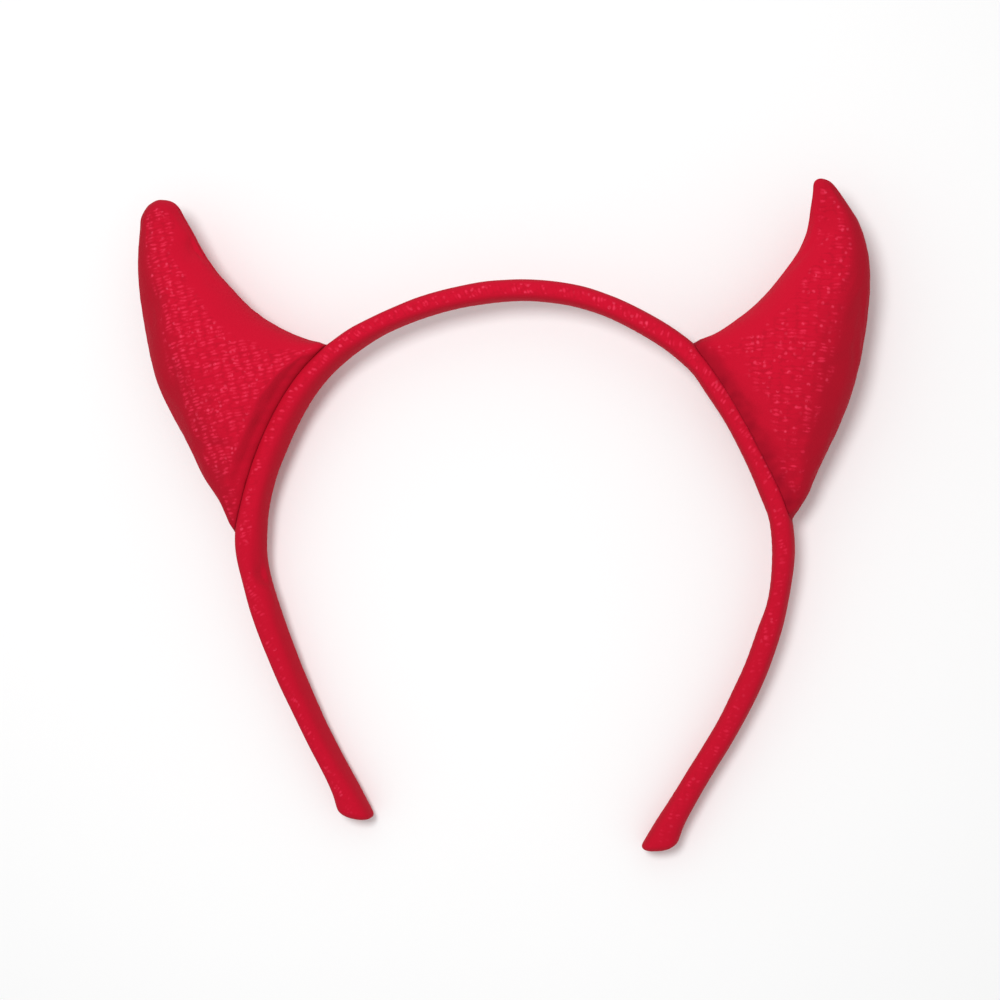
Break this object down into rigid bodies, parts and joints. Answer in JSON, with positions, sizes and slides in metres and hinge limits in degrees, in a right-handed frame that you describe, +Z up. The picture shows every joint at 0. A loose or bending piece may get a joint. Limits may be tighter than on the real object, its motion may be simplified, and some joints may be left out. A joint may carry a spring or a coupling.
{
  "type": "devil horns headband",
  "caption": "Springy costume hoop in a padded velour sleeve, with curved stuffed cloth horns sewn along its outer side.",
  "frame": {"origin": "on the floor, below the middle of the whole headband as it lies on its back", "axes": "+X to the wearer's left, the right side of the front view; +Y along the floor from the leg ends towards the crown and horn tips; +Z up, out of the front side"},
  "size_m": [0.1922, 0.1714, 0.0252],
  "materials": {
    "band_velour": "crimson stretch velour with fine sparkle threads, matt pile",
    "horn_velour": "crimson stretch velour with rows of fine sparkle threads, matt pile"
  },
  "bodies": {
    "root": {"band": "band_velour", "horn_left": "horn_velour", "horn_right": "horn_velour"}
  },
  "joints": []
}
